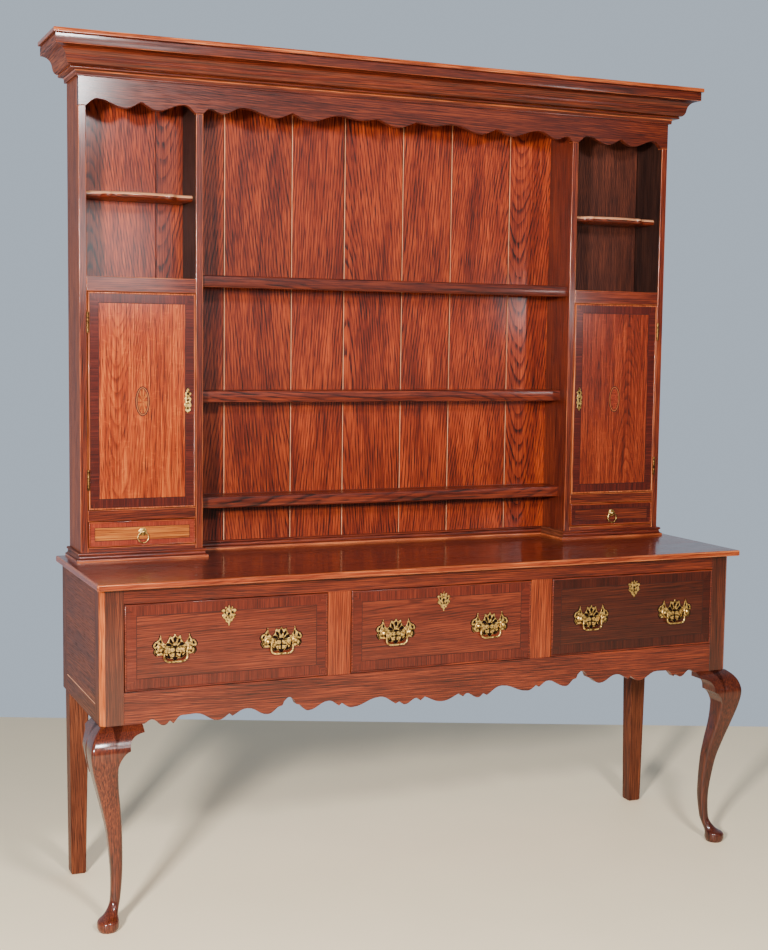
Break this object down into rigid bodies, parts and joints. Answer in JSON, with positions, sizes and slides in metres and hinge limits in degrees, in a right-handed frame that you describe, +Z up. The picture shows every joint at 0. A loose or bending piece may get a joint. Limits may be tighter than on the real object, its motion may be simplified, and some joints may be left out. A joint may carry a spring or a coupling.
{
  "type": "welsh dresser",
  "caption": "Tall oak dresser: plate rack with cupboard piers and shaped frieze over a drawer base with scalloped apron on cabriole legs.",
  "frame": {"origin": "centre of the footprint on the floor", "axes": "+X to the right as seen from the front, +Y to the back and the wall, +Z up; the front faces -Y"},
  "size_m": [1.874, 0.5094, 2.15],
  "materials": {
    "case_oak": "polished red-brown oak",
    "bright_oak": "polished orange-brown oak",
    "drawer_oak": "polished oak with red crossbanding",
    "shelf_oak": "dark polished oak",
    "inner_oak": "plain unpolished oak",
    "brass": "worn polished brass"
  },
  "bodies": {
    "carcass": {"base_back_board": "inner_oak", "base_top_board": "bright_oak", "cornice": "case_oak", "front_left_leg": "case_oak", "front_right_leg": "case_oak", "front_top_rail": "case_oak", "left_compartment_floor": "case_oak", "left_cupboard_floor": "case_oak", "left_drawer_divider": "bright_oak", "left_end_board": "case_oak", "left_inner_upright": "case_oak", "left_lower_hinge": "brass", "left_outer_side": "case_oak", "left_pier_bottom": "case_oak", "left_shaped_shelf": "shelf_oak", "left_upper_hinge": "brass", "lower_plate_shelf": "shelf_oak", "middle_plate_shelf": "shelf_oak", "rack_backboards": "bright_oak", "rack_base_moulding": "case_oak", "rack_top_board": "shelf_oak", "rear_left_leg": "case_oak", "rear_right_leg": "case_oak", "right_compartment_floor": "case_oak", "right_cupboard_floor": "case_oak", "right_drawer_divider": "bright_oak", "right_end_board": "case_oak", "right_inner_upright": "case_oak", "right_lower_hinge": "brass", "right_outer_side": "case_oak", "right_pier_bottom": "case_oak", "right_shaped_shelf": "shelf_oak", "right_upper_hinge": "brass", "scalloped_apron": "case_oak", "scalloped_frieze": "case_oak", "upper_plate_shelf": "shelf_oak"},
    "left_door": {"left_door": "bright_oak"},
    "right_door": {"right_door": "bright_oak"},
    "left_drawer": {"left_drawer_front": "drawer_oak", "left_drawer_box": "inner_oak", "left_drawer_left_plate": "brass", "left_drawer_right_plate": "brass"},
    "left_drawer_left_bail": {"left_drawer_left_bail": "brass"},
    "left_drawer_right_bail": {"left_drawer_right_bail": "brass"},
    "centre_drawer": {"centre_drawer_front": "drawer_oak", "centre_drawer_box": "inner_oak", "centre_drawer_left_plate": "brass", "centre_drawer_right_plate": "brass"},
    "centre_drawer_left_bail": {"centre_drawer_left_bail": "brass"},
    "centre_drawer_right_bail": {"centre_drawer_right_bail": "brass"},
    "right_drawer": {"right_drawer_front": "drawer_oak", "right_drawer_box": "inner_oak", "right_drawer_left_plate": "brass", "right_drawer_right_plate": "brass"},
    "right_drawer_left_bail": {"right_drawer_left_bail": "brass"},
    "right_drawer_right_bail": {"right_drawer_right_bail": "brass"},
    "left_small_drawer": {"left_small_drawer": "drawer_oak"},
    "left_small_drawer_ring": {"left_small_drawer_ring": "brass"},
    "right_small_drawer": {"right_small_drawer": "drawer_oak"},
    "right_small_drawer_ring": {"right_small_drawer_ring": "brass"}
  },
  "joints": [
    {"name": "left_door_hinge", "type": "hinge", "parent": "carcass", "child": "left_door", "pos_m": [-0.8454, 0.11067, 1.248], "axis": [0, 0, -1], "range_deg": [0, 110]},
    {"name": "right_door_hinge", "type": "hinge", "parent": "carcass", "child": "right_door", "pos_m": [0.8454, 0.11067, 1.248], "axis": [0, 0, 1], "range_deg": [0, 110]},
    {"name": "left_drawer_slide", "type": "slide", "parent": "carcass", "child": "left_drawer", "axis": [0, -1, 0], "range_m": [0, 0.3]},
    {"name": "left_drawer_left_bail_pivot", "type": "hinge", "parent": "left_drawer", "child": "left_drawer_left_bail", "pos_m": [-0.71, -0.22183, 0.674], "axis": [-1, 0, 0], "range_deg": [0, 90]},
    {"name": "left_drawer_right_bail_pivot", "type": "hinge", "parent": "left_drawer", "child": "left_drawer_right_bail", "pos_m": [-0.442, -0.22183, 0.674], "axis": [-1, 0, 0], "range_deg": [0, 90]},
    {"name": "centre_drawer_slide", "type": "slide", "parent": "carcass", "child": "centre_drawer", "axis": [0, -1, 0], "range_m": [0, 0.3]},
    {"name": "centre_drawer_left_bail_pivot", "type": "hinge", "parent": "centre_drawer", "child": "centre_drawer_left_bail", "pos_m": [-0.134, -0.22183, 0.674], "axis": [-1, 0, 0], "range_deg": [0, 90]},
    {"name": "centre_drawer_right_bail_pivot", "type": "hinge", "parent": "centre_drawer", "child": "centre_drawer_right_bail", "pos_m": [0.134, -0.22183, 0.674], "axis": [-1, 0, 0], "range_deg": [0, 90]},
    {"name": "right_drawer_slide", "type": "slide", "parent": "carcass", "child": "right_drawer", "axis": [0, -1, 0], "range_m": [0, 0.3]},
    {"name": "right_drawer_left_bail_pivot", "type": "hinge", "parent": "right_drawer", "child": "right_drawer_left_bail", "pos_m": [0.442, -0.22183, 0.674], "axis": [-1, 0, 0], "range_deg": [0, 90]},
    {"name": "right_drawer_right_bail_pivot", "type": "hinge", "parent": "right_drawer", "child": "right_drawer_right_bail", "pos_m": [0.71, -0.22183, 0.674], "axis": [-1, 0, 0], "range_deg": [0, 90]},
    {"name": "left_small_drawer_slide", "type": "slide", "parent": "carcass", "child": "left_small_drawer", "axis": [0, -1, 0], "range_m": [0, 0.085]},
    {"name": "left_small_drawer_ring_pivot", "type": "hinge", "parent": "left_small_drawer", "child": "left_small_drawer_ring", "pos_m": [-0.705, 0.11007, 0.912], "axis": [-1, 0, 0], "range_deg": [0, 90]},
    {"name": "right_small_drawer_slide", "type": "slide", "parent": "carcass", "child": "right_small_drawer", "axis": [0, -1, 0], "range_m": [0, 0.085]},
    {"name": "right_small_drawer_ring_pivot", "type": "hinge", "parent": "right_small_drawer", "child": "right_small_drawer_ring", "pos_m": [0.705, 0.11007, 0.912], "axis": [-1, 0, 0], "range_deg": [0, 90]}
  ]
}
